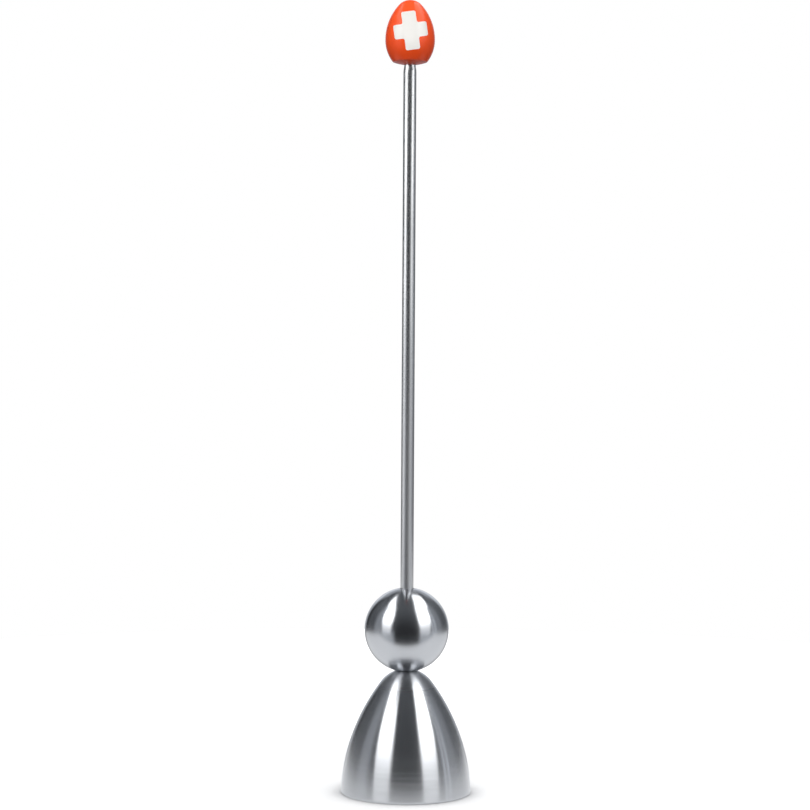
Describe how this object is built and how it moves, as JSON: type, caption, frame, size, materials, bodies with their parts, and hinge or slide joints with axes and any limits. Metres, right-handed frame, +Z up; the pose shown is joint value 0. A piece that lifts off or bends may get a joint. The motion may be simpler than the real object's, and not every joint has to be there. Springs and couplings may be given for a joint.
{
  "type": "egg topper",
  "caption": "Drop-weight egg topper: a steel ball slides down a slim rod onto a hollow bell whose rim cracks a boiled egg's shell; egg-shaped red knob with a white cross.",
  "frame": {"origin": "centre of the circle on which the bell's rim stands", "axes": "+Z up the rod, from the rim to the knob; -Y towards the front, where the cross is; +X to the right"},
  "size_m": [0.0402, 0.0402, 0.2442],
  "materials": {
    "turned_steel": "satin, brushed round the axis",
    "drawn_steel": "satin, drawn along its length",
    "fastener_steel": "plain",
    "red_lacquer": "high gloss",
    "white_lacquer": "gloss",
    "insert_brass": "plain"
  },
  "bodies": {
    "stem": {"bell": "turned_steel", "rod": "drawn_steel", "flat_washer": "fastener_steel", "spring_washer": "fastener_steel", "cap_nut": "fastener_steel", "knob": "red_lacquer", "cross_inlay": "white_lacquer", "knob_insert": "insert_brass"},
    "ball": {"ball": "turned_steel"}
  },
  "joints": [
    {"name": "ball_slide", "type": "slide", "parent": "stem", "child": "ball", "axis": [0, 0, 1], "range_m": [0, 0.1614]}
  ]
}
